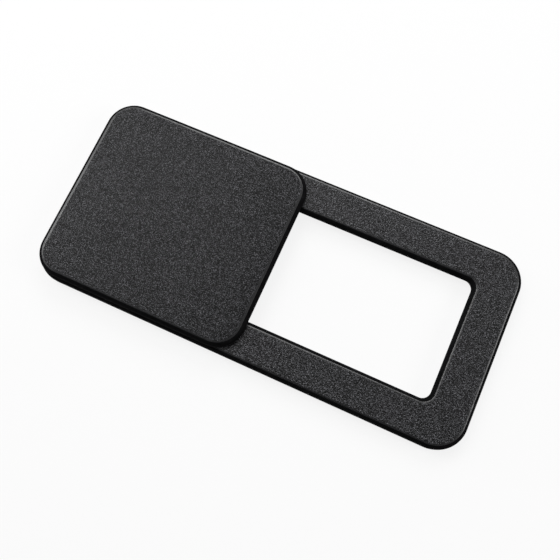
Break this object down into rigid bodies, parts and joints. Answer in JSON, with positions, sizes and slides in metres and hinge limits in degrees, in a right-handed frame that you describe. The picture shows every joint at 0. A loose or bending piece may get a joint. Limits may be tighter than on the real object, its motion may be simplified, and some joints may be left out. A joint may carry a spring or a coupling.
{
  "type": "webcam cover slider",
  "caption": "Thin adhesive-backed black plastic frame with a long rounded window, and a square plate that slides along it to cover or clear a camera lens.",
  "frame": {"origin": "middle of the adhesive face that is stuck to the screen's rim", "axes": "+X along the frame, the way the cover slides to close; +Y across the frame; +Z away from the screen"},
  "size_m": [0.018, 0.0082, 0.001],
  "materials": {
    "black_frame_plastic": "black moulded plastic with a fine spark-eroded grain",
    "black_cover_plastic": "black moulded plastic with a fine spark-eroded grain",
    "dark_keeper_film": "smooth dark plastic sheet",
    "clear_tape": "pale translucent double-sided adhesive tape"
  },
  "bodies": {
    "base": {"base_frame": "black_frame_plastic", "adhesive_ring": "clear_tape"},
    "slider": {"slider_cover": "black_cover_plastic", "slider_keeper": "dark_keeper_film"}
  },
  "joints": [
    {"name": "cover_slide", "type": "slide", "parent": "base", "child": "slider", "axis": [1, 0, 0], "range_m": [0, 0.009]}
  ]
}
